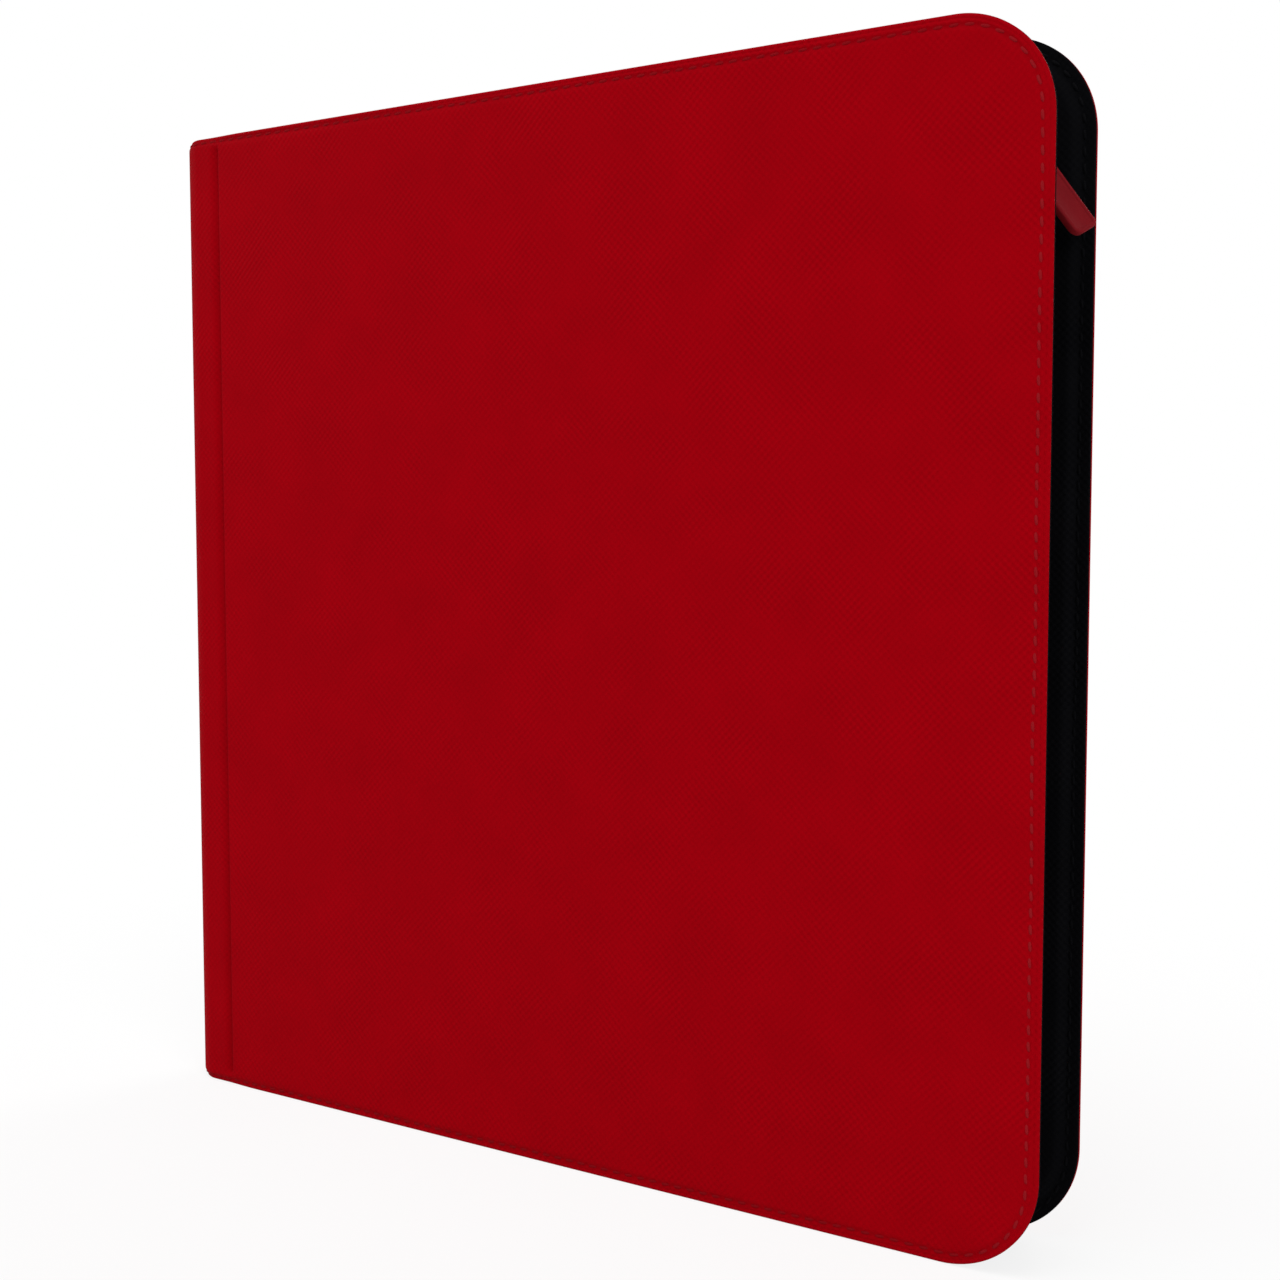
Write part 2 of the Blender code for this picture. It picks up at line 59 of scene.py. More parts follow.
# Places that everything is worked out from
jointAt = {joint["name"]: Vector(joint.get("pos_m", (0, 0, 0))) for joint in frame["joints"]}
skinLow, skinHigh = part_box("front_cover_skin")
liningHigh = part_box("front_cover_lining")[1]
spineLow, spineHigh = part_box("spine_skin")
creaseX = jointAt["front_cover_open"].x
pivot = jointAt["pull_swing"]
foreX = skinHigh.x
spineX = spineLow.x
halfDepth = spineHigh.y  # outer faces lie at plus and minus this
height = skinHigh.z
hemDepth = skinHigh.y - skinLow.y
coverThick = liningHigh.y - skinLow.y
midZ = height / 2
print("frame: case", round(1000 * (foreX - spineX), 1), "x", round(1000 * height, 1), "mm")


# Mesh helpers

join = np.concatenate  # grids or lines end to end


# Quads between neighbouring points of a grid; ringed joins the last column to the first
def gridFaces(rows, columns, ringed=False):
    index = np.arange(rows * columns).reshape(rows, columns)
    if ringed:
        index = np.hstack([index, index[:, :1]])
    corners = (index[:-1, :-1], index[:-1, 1:], index[1:, 1:], index[1:, :-1])
    return np.stack(corners, axis=-1).reshape(-1, 4)


# One piece from grids of points (rows x columns x 3). laid holds where each point lies on the flat
# cloth, and shade how dark it is. ringed closes the columns into rings and fills the two end rings;
# closed says that the grids close by themselves. flip turns a sheet over, and thick gives it a back.
def addPiece(name, grids, material, laid=None, shade=None, ringed=False, closed=False, flip=False,
             thick=0):
    points = join([grid.reshape(-1, 3) for grid in grids])
    faces = []
    start = 0
    for grid in grids:
        rows, columns = grid.shape[:2]
        faces += (gridFaces(rows, columns, ringed) + start).tolist()
        if ringed:
            ring = np.arange(start, start + columns)
            faces += [ring[::-1].tolist(), (ring + (rows - 1) * columns).tolist()]
        start += rows * columns
    return addMesh(name, points, faces, material, closed or ringed, laid, shade, flip, thick)


# One mesh in the scene: doubles merged, faces turned outwards, and smooth but for its sharp edges
def addMesh(name, points, faces, material, closed, laid=None, shade=None, flip=False, thick=0):
    mesh = bpy.data.meshes.new(name)
    mesh.from_pydata(points.tolist(), [], faces)
    if laid:
        lay = mesh.attributes.new("lay", "FLOAT_VECTOR", "POINT")
        lay.data.foreach_set("vector", join([grid.ravel() for grid in laid]))
    if shade:
        dark = mesh.attributes.new("shade", "FLOAT", "POINT")
        dark.data.foreach_set("value", join([grid.ravel() for grid in shade]))
    shape = bmesh.new()
    shape.from_mesh(mesh)
    bmesh.ops.remove_doubles(shape, verts=shape.verts, dist=mergeWithin)
    if closed:
        bmesh.ops.recalc_face_normals(shape, faces=shape.faces)
    if flip:
        bmesh.ops.reverse_faces(shape, faces=shape.faces)
    if thick:
        bmesh.ops.solidify(shape, geom=shape.faces[:], thickness=-thick)
        bmesh.ops.recalc_face_normals(shape, faces=shape.faces)
    shape.to_mesh(mesh)
    shape.free()
    mesh.shade_smooth()
    mesh.set_sharp_from_angle(angle=sharpAngle)
    mesh.materials.append(material)
    piece = bpy.data.objects.new(name, mesh)
    bpy.context.scene.collection.objects.link(piece)
    return piece


# The same small closed shape at many places: point = origin + local x, y, z along that place's axes
def addCopies(name, shape, origins, axes, material, shade=()):
    template, faces = shape
    points = origins[:, None] + np.einsum("nj,kjc->knc", template, axes)
    offsets = np.arange(len(origins))[:, None, None] * len(template)
    faces = (faces + offsets).reshape(-1, 4)
    dark = [np.repeat(shade, len(template))] if len(shade) else None
    return addMesh(name, points.reshape(-1, 3), faces.tolist(), material, closed=True, shade=dark)


def smooth(value, low, high):  # 0 below low, 1 above high, eased between
    t = np.clip((value - low) / (high - low), 0, 1)
    return t * t * (3 - 2 * t)


def bell(value, width):  # 1 at nought, falling off over width
    return np.exp(-(value / width) ** 2)


# Length along a line of points from its first one
def runLength(points):
    return join([[0], np.cumsum(np.linalg.norm(np.diff(points, axis=0), axis=1))])


# Columns of values read off at places along a run
def readAlong(places, run, values):
    return np.stack([np.interp(places, run, column) for column in values.T], 1)


def unit(vectors):  # each made one long
    return vectors / np.linalg.norm(vectors, axis=1)[:, None]


# Coordinates side by side, each spread over the others' grid
def stacked(*parts):
    return np.stack(np.broadcast_arrays(*parts), -1)


def standAt(flat, y):  # a flat line or grid of x and z, stood at y
    return stacked(flat[..., 0], y, flat[..., 1])


def lifted(flat, z):  # and one of x and y, lifted to z
    return stacked(flat[..., 0], flat[..., 1], z)


def sweep(start, end, steps):  # angles from one to the other, in degrees
    return np.radians(np.linspace(start, end, steps))


def around(steps):  # angles once round, the first not repeated
    return np.linspace(0, 2 * np.pi, steps, endpoint=False)


def spokes(turn):  # directions at these angles
    return stacked(np.cos(turn), np.sin(turn))


# Quarter circle off an edge: radius * (1 - sin) in from the side, radius * (1 - cos) down from the face
def quarterRound(radius, steps):
    turn = sweep(0, 90, steps)
    return radius * (1 - np.sin(turn)), radius * (1 - np.cos(turn))


# What a piece rides on, and the solids it stands for, which are hidden
def settle(piece, body, slot, *nodes):
    if body:
        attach(piece, body)
    if nodes:
        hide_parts(*nodes)
    return piece


# Materials

grain = {
    "pitch": 1.67 * mm,  # between ribs, across each diagonal
    "patch": 17 * mm,  # the press bites unevenly over patches of this size
    "lean": {"From Min": -0.2, "From Max": 1.2},  # noise to the two diagonals' shares
    "bite": {"From Min": 0.38, "From Max": 0.68, "To Min": 0.4},  # noise to how hard the press bites
    "cloud": 22 * mm,
    "tone": 0.5,  # share of the relief that shows as colour
    "pore": 0.5 * mm,
    "poreShare": 0.3,
}


def linear(hexColour):  # sRGB hex to linear RGBA
    channels = np.array([int(hexColour[place:place + 2], 16) for place in (1, 3, 5)]) / 255
    bright = ((channels + 0.055) / 1.055) ** 2.4
    return (*np.where(channels <= 0.04045, channels / 12.92, bright).tolist(), 1.0)


# Sets a node's sockets: values as constants, feeds as links from other sockets
def setSockets(tree, node, values=None, feeds=None):
    for socket, value in (values or {}).items():
        node.inputs[socket].default_value = value
    for socket, source in (feeds or {}).items():
        tree.links.new(source, node.inputs[socket])


# Adds a node with its settings and sockets, and returns one of its outputs
def addNode(tree, kind, values=None, feeds=None, out=0, **settings):
    node = tree.nodes.new("ShaderNode" + kind)
    for key, value in settings.items():
        setattr(node, key, value)
    setSockets(tree, node, values, feeds)
    return node.outputs[out]


def newMaterial(name):
    material = bpy.data.materials.new(name)
    material.use_nodes = True
    return material, material.node_tree


# Ends a material: two colours mixed by share, turned to the painted shade colour by the piece's own
# shade, over a relief of this depth in mm
def endMaterial(material, values, colours, share, relief, depth, feeds=None, paintedShade=None):
    tree = material.node_tree
    low, high = colours
    colour = addNode(tree, "Mix", {6: linear(low), 7: linear(high)}, {0: share}, 2, data_type="RGBA")
    if paintedShade:
        shade = addNode(tree, "Attribute", out="Fac", attribute_name="shade")
        colour = addNode(tree, "Mix", {7: linear(paintedShade)}, {0: shade, 6: colour}, 2, data_type="RGBA")
    bump = addNode(tree, "Bump", {"Distance": depth * mm, "Strength": 1}, {"Height": relief})
    feeds = {"Base Color": colour, "Normal": bump, **(feeds or {})}
    setSockets(tree, tree.nodes["Principled BSDF"], values, feeds)
    return material


# Waves along the two axes of the flat cloth, once it is turned
def crossedWaves(tree, turn, length, wave):
    lay = addNode(tree, "Attribute", out="Vector", attribute_name="lay")
    counted = {"Rotation": (0, 0, math.radians(turn)), "Scale": (2 * math.pi / length,) * 3}
    turned = addNode(tree, "Mapping", counted, {"Vector": lay})
    axes = addNode(tree, "SeparateXYZ", None, {"Vector": turned}).node.outputs
    return lay, *[addNode(tree, "Math", None, {0: axes[axis]}, operation=wave) for axis in "XY"]


# Coated fabric with a cross grain pressed in by a roller. Its relief mixes cos(a) and cos(b) over the
# two diagonals: little pillows where both bite alike, slanting ribs where one does. Matte, with a faint
# cloudiness in the coating. paintedShade is the colour of shade painted into the crease and stitch
# grooves.
def coatedFabric(name, face, valley, press, roughness, specular, paintedShade=None):
    material, tree = newMaterial(name)
    lay, ribA, ribB = crossedWaves(tree, 45, grain["pitch"], "COSINE")
    patchy = {"Scale": 1 / grain["patch"], "Detail": 1}
    patch = addNode(tree, "TexNoise", patchy, {"Vector": lay}, "Color")
    bite = addNode(tree, "SeparateColor", None, {"Color": patch}).node.outputs
    lean = addNode(tree, "MapRange", grain["lean"], {"Value": bite["Red"]})
    depth = addNode(tree, "MapRange", grain["bite"], {"Value": bite["Green"]})
    ribs = addNode(tree, "Mix", None, {0: lean, 2: ribA, 3: ribB})
    relief = addNode(tree, "Math", None, {0: ribs, 1: depth}, operation="MULTIPLY")
    cloud = addNode(tree, "TexNoise", {"Scale": 1 / grain["cloud"], "Detail": 3}, {"Vector": lay})
    tone = addNode(tree, "Math", {1: grain["tone"]}, {0: relief, 2: cloud}, operation="MULTIPLY_ADD")
    pore = addNode(tree, "TexNoise", {"Scale": 1 / grain["pore"], "Detail": 2}, {"Vector": lay})
    rough = addNode(tree, "Math", {1: grain["poreShare"]}, {0: pore, 2: relief}, operation="MULTIPLY_ADD")
    values = {"Roughness": roughness, "Specular IOR Level": specular}
    return endMaterial(material, values, (valley, face), tone, rough, press, paintedShade=paintedShade)


# Woven cloth: warp and weft cross as sin(x) * sin(y), so that each thread goes over one and under the
# next. rise is how far a thread stands out.
def wovenCloth(name, face, valley, thread, rise, roughness, specular):
    material, tree = newMaterial(name)
    warp, weft = crossedWaves(tree, 0, 2 * thread * mm, "SINE")[1:]
    over = addNode(tree, "Math", None, {0: warp, 1: weft}, operation="MULTIPLY")
    rib = addNode(tree, "MapRange", {"From Min": -1}, {"Value": over})
    values = {"Roughness": roughness, "Specular IOR Level": specular}
    return endMaterial(material, values, (valley, face), rib, rib, rise)


# Moulded, plated, spun or cut stuff: a fine grit in the finish that spreads its gloss a little, and
# colour that drifts over a dozen grits
# paintedShade, where given, is the colour of shade painted where the piece's shade attribute says
def grittyFinish(name, face, deep, grit, depth, roughness, specular, paintedShade=None, metal=0, spread=0.08):
    material, tree = newMaterial(name)
    place = addNode(tree, "TexCoord", out="Object")
    drift = addNode(tree, "TexNoise", {"Scale": 1 / (12 * grit * mm), "Detail": 2}, {"Vector": place})
    speck = addNode(tree, "TexNoise", {"Scale": 1 / (grit * mm), "Detail": 4}, {"Vector": place})
    spreads = {"To Min": roughness - spread, "To Max": roughness + spread}
    gloss = addNode(tree, "MapRange", spreads, {"Value": speck})
    values = {"Metallic": metal, "Specular IOR Level": specular}
    return endMaterial(material, values, (deep, face), drift, speck, depth, {"Roughness": gloss}, paintedShade)


# Pocket page: clear film that lies not quite flat on a black sheet, hazy and glossy over each pocket,
# black and dull where it is welded down
def weldedFilm(name, haze, weld, ripple, rise, gloss, dull, specular):
    material, tree = newMaterial(name)
    place = addNode(tree, "TexCoord", out="Object")
    shade = addNode(tree, "Attribute", out="Fac", attribute_name="shade")
    wave = addNode(tree, "TexNoise", {"Scale": 1 / (ripple * mm), "Detail": 2}, {"Vector": place})
    rough = addNode(tree, "MapRange", {"To Min": gloss, "To Max": dull}, {"Value": shade})
    values = {"Specular IOR Level": specular}
    return endMaterial(material, values, (haze, weld), shade, wave, rise, {"Roughness": rough})


# Each has its name, two colours, sizes in mm, roughness and specular level

# Covers: matte and deep red, with next to no gloss seen straight on; the last colour is painted shade
redCover = coatedFabric("cross_grained_red_coated_fabric", "#9b000c", "#8c000a", 0.055, 0.6, 0.008,
                        "#6c0007")
# Lining: the same stuff in black, pressed deeper and just as dull
blackLining = coatedFabric("cross_grained_black_coated_fabric", "#0d0d0f", "#08080a", 0.08, 0.7, 0.006)
# Thread: spun polyester, duller and browner than the coating it lies in; shade painted along level seams
redThread = grittyFinish("spun_polyester_thread", "#8f171e", "#841419", 0.25, 0.03, 0.8, 0.02, "#7d0b12")
blackThread = grittyFinish("black_spun_polyester_thread", "#0a0a0c", "#060608", 0.25, 0.03, 0.8, 0.03)
# Tape: herringbone in the shop, here a plain weave at twice its thread so that it shows
zipWeave = wovenCloth("woven_polyester_zip_tape", "#0f0f11", "#050506", 0.8, 0.12, 0.85, 0.1)
# Teeth: moulded smooth, with a soft shine on their tips
zipPlastic = grittyFinish("moulded_acetal_teeth", "#141416", "#0d0d0f", 0.2, 0.005, 0.38, 0.4)
# Slider and link: cast zinc under a dark bright plating
gunmetal = grittyFinish("gunmetal_plated_zinc", "#5a5a60", "#4c4c52", 0.3, 0.004, 0.3, 0.5, metal=1)
# Tab: soft and greyer than the covers, with a dull moulded skin
redRubber = grittyFinish("moulded_red_rubber", "#761219", "#6b0f16", 0.35, 0.02, 0.65, 0.04)
# Pages: the pockets show by their haze and gloss between the welds
pocketFilm = weldedFilm("clear_film_over_black_sheet", "#202023", "#060607", 4, 0.05, 0.18, 0.7, 0.3)
# Inside the spine and the covers: dull cloth, foam and board
bindingCloth = grittyFinish("black_binding_cloth", "#0e0e10", "#060607", 0.4, 0.05, 0.85, 0.1)
foamSheet = grittyFinish("open_cell_foam", "#c6c2b8", "#b0aca2", 0.6, 0.2, 0.9, 0.1)
greyBoard = grittyFinish("pressed_grey_board", "#9a948a", "#857f76", 0.8, 0.05, 0.85, 0.2)
print("materials: done")


# Covers and spine

cover = {
    "cornerRadius": 29 * mm,
    "shoulderRadius": 10 * mm,  # spine's long edges
    "seam": 4.6 * mm,  # a cover's sheet runs this far past the crease onto the spine
    "foldReach": 2 * mm,  # the sheet bends this far to both sides of the crease
    "sheet": 0.35 * mm,
    "edgeRound": 0.9 * mm,  # outer turn of the edge
    "tuckRound": 0.35 * mm,  # where the hem goes under
    "hemTurn": 0.9 * mm,
    "flange": 2.2 * mm,  # depth of the lining's face along the sewn edge
    "climbStart": 3.4 * mm,  # from the edge, where the lining starts to climb over the board
    "climbEnd": 7 * mm,
    "drawn": 0.5 * mm,  # the seam draws the edge in by this much
    "drawnReach": 5 * mm,
    "drawnSpine": 1.1 * mm,  # the same at the spine's ends
    "drawnReachSpine": 3 * mm,
    "drawnBlend": 15 * mm,  # from the spine's to the covers', along the edge
    "creaseDip": 0.9 * mm,
    "creaseWidth": 0.7 * mm,  # on the cover's side
    "creaseSlope": 1.9 * mm,  # and on the spine's, where it starts softly
    # share of painted shade along the crease
    "creaseShade": 0.34,
    "creaseStart": 3 * mm,  # from the edge, below the stitches
    "creaseFull": 5.5 * mm,
    "creaseTuck": 0.8,  # share of the climb that is pressed back along the crease
    "tuckWidth": 2.3 * mm,
    "beadInset": 1.45 * mm,  # shallow groove that sets off a bead along the edge
    "beadDip": 0.2 * mm,
    "beadWidth": 0.4 * mm,
    "beadFade": (0.3 * mm, 1.2 * mm),  # it fades where the stitches come as near as this
    "creaseColumns": 36,  # counts of the grids' points
    "faceColumns": 64,
    "faceRows": 60,
    "cornerSteps": 40,
    "shoulderSteps": 26,
    "skinRows": 44,
    "liningRows": 34,
    "spineRows": 40,
}
stitch = {
    "pitch": 4.6 * mm,
    "length": 3.3 * mm,
    "halfWidth": 0.46 * mm,
    "halfHeight": 0.3 * mm,
    "arch": 0.28 * mm,
    "sink": 0.2 * mm,  # the ends go this far under the bottom of the groove
    "slant": math.radians(6),
    "inset": 3.3 * mm,  # from the fore-edge
    "insetSpine": 1.9 * mm,  # from the spine's ends
    "cornerDip": 0.6 * mm,  # nearer the edge in the middle of a corner
    "wander": 0.2 * mm,
    "wanderLong": 97 * mm,
    "wanderShort": 61 * mm,
    "dip": 0.35 * mm,
    "dipWidth": 0.8 * mm,
    "shade": 0.42,  # painted shade in the stitch groove along the upper edge; shadeLower along the lower
    "shadeLower": 0.2,
}
cornerRadius = cover["cornerRadius"]
cornerX = foreX - cornerRadius
seamX = creaseX - cover["seam"]


# Columns across a cover: close together over the crease, then wider
def coverColumns():
    past = creaseX + cover["seam"]
    return join([np.linspace(seamX, past, cover["creaseColumns"], endpoint=False),
                 np.linspace(past, cornerX, cover["faceColumns"])])


def coverRows():
    return np.linspace(height - cornerRadius, cornerRadius, cover["faceRows"])


# Path round a cover's three free edges. Each point is anchor + (corner radius - inset) * outward
# normal, so every inset up to the corner radius gives a parallel line.
def coverPath():
    columns, rows = coverColumns(), coverRows()
    high, low = rows[0], rows[-1]
    corner = spokes(sweep(90, 0, cover["cornerSteps"])[1:-1])
    runs = (  # anchors and normals; one of the two stays the same along a run
        (stacked(columns, high), [0, 1]), ([cornerX, high], corner), (stacked(cornerX, rows), [1, 0]),
        ([cornerX, low], corner[::-1] * [1, -1]), (stacked(columns[::-1], low), [0, -1]),
    )
    anchors, normals = zip(*[np.broadcast_arrays(*run) for run in runs])
    return join(anchors), join(normals)


edgePath = coverPath()
edgeAnchors, edgeNormals = edgePath


# The line of a path at an inset from the edge, or its lines at insets in rows, in x and z
def insetLine(path, insets):
    anchors, normals = path
    return anchors + (cornerRadius - np.asarray(insets))[..., None] * normals


# Stitch line's distance from the edge: it narrows from the corner to the spine by (1 - share)^1.5, cuts
# the corners a little, and wanders by two slow waves along its run
def stitchLine():
    share = np.clip((edgeAnchors[:, 0] - creaseX) / (cornerX - creaseX), 0, 1)
    narrowed = (stitch["inset"] - stitch["insetSpine"]) * (1 - share) ** 1.5
    cut = stitch["cornerDip"] * 2 * np.abs(edgeNormals[:, 0] * edgeNormals[:, 1])
    run = 2 * np.pi * runLength(insetLine(edgePath, 0))
    waves = (np.sin(run / stitch["wanderLong"]) + np.sin(run / stitch["wanderShort"])) / 2
    return stitch["inset"] - narrowed - cut + stitch["wander"] * waves * share


# A seam's run counted in stitches, with a whole number of them
def stitchCount(line):
    run = runLength(line)
    return run * (run[-1] // stitch["pitch"]) / run[-1]


seamInset = stitchLine()
seamFlat = insetLine(edgePath, seamInset)
seamCount = stitchCount(seamFlat)


# Insets from far to near that come closer together towards the edge
def closingInsets(near, count):
    return near + (cornerRadius - near) * np.linspace(1, 0, count) ** 2


# Section of the red covering at a free edge, as insets from the edge and depths under the outer face:
# flat panel, round the outer edge, down the hem and under
def skinSection():
    panel = closingInsets(cover["edgeRound"], cover["skinRows"])
    outerIn, outerDown = quarterRound(cover["edgeRound"], 9)
    tuckUp, tuckIn = quarterRound(cover["tuckRound"], 9)
    insets = join([panel, outerIn[1:], tuckIn, [cover["hemTurn"]]])
    depths = join([0 * panel, outerDown[1:], hemDepth - tuckUp, [hemDepth]])
    return insets, depths


# Section of the black lining at a free edge: board's level, down the slope to the sewn flange, and a
# rolled edge that goes half round to the back of the hem
def liningSection():
    flange = cover["flange"]
    roll = (flange - hemDepth) / 2
    panel = closingInsets(roll, cover["liningRows"])
    climb = (coverThick - flange) * smooth(panel, cover["climbStart"], cover["climbEnd"])
    turn = sweep(0, 180, 11)[1:]
    insets = join([panel, roll * (1 - np.sin(turn)), [cover["hemTurn"]]])
    depths = join([flange + climb, flange - roll * (1 - np.cos(turn)), [hemDepth]])
    return insets, depths


# 1 along the bottom of the crease, which starts below the stitches and is softer on the spine's side
def creaseShare(x, inset):
    width = np.where(x < creaseX, cover["creaseSlope"], cover["creaseWidth"])
    return bell(x - creaseX, width) * smooth(inset, cover["creaseStart"], cover["creaseFull"])


# How far the outer face is pressed in: under the stitches, beside the bead, and along the crease
def pressedIn(x, inset, line):
    sewnIn = stitch["dip"] * bell(inset - line, stitch["dipWidth"])
    bead = cover["beadDip"] * bell(inset - cover["beadInset"], cover["beadWidth"])
    bead = bead * smooth(line - cover["beadInset"], *cover["beadFade"])
    crease = cover["creaseDip"] * creaseShare(x, inset)
    return (sewnIn + bead + crease) * smooth(inset, 0, cover["edgeRound"])


# How far the seam draws in the whole edge, which fades over the reach from the edge
def drawnIn(x, inset):
    nearSpine = 1 - smooth(x, seamX, seamX + cover["drawnBlend"])
    drawn = cover["drawn"] + (cover["drawnSpine"] - cover["drawn"]) * nearSpine
    reach = cover["drawnReach"] + (cover["drawnReachSpine"] - cover["drawnReach"]) * nearSpine
    return drawn * (1 - smooth(inset, 0, reach))


# Where the lining is pressed back into the crease, as a share of its climb
def tuckedBack(x):
    return cover["creaseTuck"] * (1 - smooth(np.abs(x - creaseX), 0, cover["tuckWidth"]))


# Grids of a cover's sheet, round its free edges and over its middle, and where they lie flat: the
# section's own length past the anchors. The middle goes right to left, to face as the edge does.
def coverGrids(insets, depths, edgeDepth, middleDepth, side):
    flat = insetLine(edgePath, insets[:, None])
    x, z = np.meshgrid(coverColumns()[::-1], coverRows())
    run = runLength(stacked(insets, depths))
    grids = [standAt(flat, side * (halfDepth - edgeDepth(flat[..., 0]))),
             stacked(x, side * (halfDepth - middleDepth(x)), z)]
    laid = [lifted(edgeAnchors + run[:, None, None] * edgeNormals, 0.0), stacked(x, z, 0.0)]
    return grids, laid


# Bakes the piece's place into its mesh
def foldWith(piece):
    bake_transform(piece)


# Red covering, pressed in at its edge and crease; side is -1 for the front cover and 1 for the back
def addCovering(side, body):
    insets, depths = skinSection()
    inset, onFace = insets[:, None], (depths < cover["edgeRound"])[:, None]

    def edgeDepth(x):
        return depths[:, None] + pressedIn(x, inset, seamInset) * onFace + drawnIn(x, inset)

    def middleDepth(x):
        return pressedIn(x, cornerRadius, stitch["inset"])

    grids, laid = coverGrids(insets, depths, edgeDepth, middleDepth, side)
    # Painted shade: in the stitch groove, stronger on the upper edge than the lower, and along the crease
    facing = edgeNormals[:, 1]
    paintedSeamShade = np.abs(facing) * np.where(facing > 0, stitch["shade"], stitch["shadeLower"])
    groove = paintedSeamShade * bell(inset - seamInset, stitch["dipWidth"])
    shade = [groove + cover["creaseShade"] * creaseShare(grids[0][..., 0], inset),
             cover["creaseShade"] * creaseShare(grids[1][..., 0], cornerRadius)]
    sheet = addPiece(body + "_covering", grids, redCover, laid, shade, flip=side < 0,
                     thick=cover["sheet"])
    foldWith(sheet)
    settle(sheet, None, "red_skin", body + "_skin")


# Black lining, its climb over the board pressed back along the crease
def addInnerCovering(side, body):
    insets, depths = liningSection()
    fullClimb = coverThick - cover["flange"]
    climb = np.maximum(depths - cover["flange"], 0)[:, None]

    def edgeDepth(x):
        return depths[:, None] - climb * tuckedBack(x) + drawnIn(x, insets[:, None])

    def middleDepth(x):
        return coverThick - fullClimb * tuckedBack(x)

    grids, laid = coverGrids(insets, depths, edgeDepth, middleDepth, side)
    sheet = addPiece(body + "_inner_covering", grids, blackLining, laid, flip=side > 0,
                     thick=cover["sheet"])
    foldWith(sheet)
    settle(sheet, None, "black_lining", body + "_lining")


sides = ((-1, "front_cover"), (1, "back_cover"))
for side, body in sides:
    addCovering(side, body)
    addInnerCovering(side, body)
print("covers: done")


# Section of the spine from seam to seam, round both shoulders: points and outward normals
def spineSection():
    radius = cover["shoulderRadius"]
    centreX, centreY = spineX + radius, halfDepth - radius
    flatX = np.linspace(seamX, centreX, 10, endpoint=False)
    backY = np.linspace(-centreY, centreY, 14)[1:-1]
    bend = spokes(sweep(270, 180, cover["shoulderSteps"]))
    half = join([stacked(flatX, -halfDepth), [centreX, -centreY] + radius * bend])
    halfNormals = join([np.tile([0, -1], (len(flatX), 1)), bend])
    backNormals = np.tile([-1, 0], (len(backY), 1))
    points = join([half, stacked(spineX, backY), half[::-1] * [1, -1]])
    normals = join([halfNormals, backNormals, halfNormals[::-1] * [1, -1]])
    return points, normals


spinePoints, spineNormals = spineSection()
spineCount = stitchCount(spinePoints)
pastFlat = spinePoints[:, 0] <= spineX + cover["shoulderRadius"]  # its shoulders and back


# The spine's section drawn in by a depth, or by depths in rows
def spineLine(depths):
    return spinePoints - np.asarray(depths)[..., None] * spineNormals


# Sheet round the spine: at each height the section is drawn in by that height's depth. Both ends have
# the edge's section, and the shade painted into its stitch groove.
def spineSheet(insets, depths):
    depths = depths + drawnIn(spineX, insets)
    run = runLength(stacked(insets, depths))
    reach = insets[0]
    middle = np.linspace(reach, height - reach, cover["spineRows"])[1:-1]
    z = join([insets[::-1], middle, height - insets])
    depth = join([depths[::-1], np.full(len(middle), depths[0]), depths])
    climb = join([reach - run[::-1], middle, height - reach + run])
    along = seamX - runLength(spinePoints)
    sheet = lifted(spineLine(depth[:, None]), z[:, None])
    laid = stacked(along, climb[:, None], 0.0)
    groove = stitch["shade"] * bell(np.minimum(z, height - z) - stitch["insetSpine"], stitch["dipWidth"])
    return sheet, laid, np.broadcast_to(groove[:, None], sheet.shape[:2])


# Red covering and black lining of the spine
def addSpine():
    insets, depths = skinSection()
    pressed = pressedIn(spineX, insets, stitch["insetSpine"]) * (depths < cover["edgeRound"])
    sheet, laid, shade = spineSheet(insets, depths + pressed)
    piece = addPiece("spine_covering", [sheet], redCover, [laid], [shade], thick=cover["sheet"])
    settle(piece, "spine", "red_skin", "spine_skin")
    sheet, laid = spineSheet(*liningSection())[:2]
    piece = addPiece("spine_inner_covering", [sheet], blackLining, [laid], flip=True,
                     thick=cover["sheet"])
    settle(piece, "spine", "black_lining", "spine_lining")


addSpine()
print("spine: done")


# Stitches: short arched threads, their ends pulled down into the sheet

# One stitch along local x, arching up local z: an oval section that closes at both ends as sqrt(1 - t^4)
def stitchTemplate():
    rings, sides = 9, 7
    t = np.linspace(-1, 1, rings)[:, None]
    turn = around(sides)
    swell = np.sqrt(1 - t ** 4)
    x = t * stitch["length"] / 2
    y = stitch["halfWidth"] * swell * np.cos(turn)
    z = stitch["arch"] * (1 - t ** 2) - stitch["sink"] + stitch["halfHeight"] * swell * np.sin(turn)
    return stacked(x, y, z).reshape(-1, 3), gridFaces(rings, sides, ringed=True)


# Stitches in the middle of each step of a counted line of 3D points with outward normals
def addStitches(name, line, count, outward, material, slot, body=None):
    at = np.arange(round(count[-1])) + 0.5
    near = 0.1  # of a step, to both sides
    origins = readAlong(at, count, line)
    forward = unit(readAlong(at + near, count, line) - readAlong(at - near, count, line))
    up = unit(readAlong(at, count, outward))
    lean = forward * math.cos(stitch["slant"]) + np.cross(up, forward) * math.sin(stitch["slant"])
    axes = np.stack([lean, np.cross(up, lean), up], 1)
    level = 1 - np.abs(forward[:, 2])  # painted shade: level runs are darker than upright ones
    piece = addCopies(name, stitchTemplate(), origins, axes, material, level)
    return settle(piece, body, slot)


